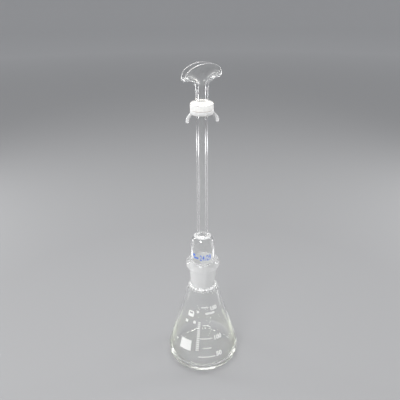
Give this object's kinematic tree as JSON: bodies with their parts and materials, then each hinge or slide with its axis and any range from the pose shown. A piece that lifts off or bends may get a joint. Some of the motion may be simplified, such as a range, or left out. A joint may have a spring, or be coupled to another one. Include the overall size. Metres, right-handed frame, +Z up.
{
  "type": "arsenic test apparatus",
  "caption": "Conical flask with a ground socket, a delivery tube on a hollow ground stopper, and a flanged cap with a crescent groove, for the arsenic spot test.",
  "frame": {"origin": "centre of the flask's base, on the surface that it stands on", "axes": "+Z up along the flask, tube and cap; -Y is the side with the graduations"},
  "size_m": [0.0728, 0.0728, 0.304],
  "materials": {
    "clear_glass": "clear, fire polished, faint green edges",
    "ground_glass": "ground, white and translucent",
    "paper": "matte filter paper",
    "white_enamel": "fired enamel print, slightly raised",
    "blue_print": "fired blue print"
  },
  "bodies": {
    "flask": {"flask_body": "clear_glass", "neck_socket": "ground_glass"},
    "gas_tube": {"ground_cone": "ground_glass", "stopper_dome": "clear_glass", "delivery_tube": "clear_glass", "tube_flange": "clear_glass", "hook_left": "clear_glass", "hook_right": "clear_glass"},
    "paper": {"test_paper": "paper"},
    "cap": {"cap_flange": "clear_glass", "cap_stem": "clear_glass", "cap_head": "clear_glass"}
  },
  "joints": [
    {"name": "tube_lift", "type": "slide", "parent": "flask", "child": "gas_tube", "axis": [0, 0, 1], "range_m": [0, 0.04]},
    {"name": "cap_turn", "type": "hinge", "parent": "gas_tube", "child": "paper", "pos_m": [0, 0, 0.26422], "axis": [0, 0, 1], "continuous": true},
    {"name": "cap_lift", "type": "slide", "parent": "paper", "child": "cap", "axis": [0, 0, 1], "range_m": [0, 0.03]}
  ]
}
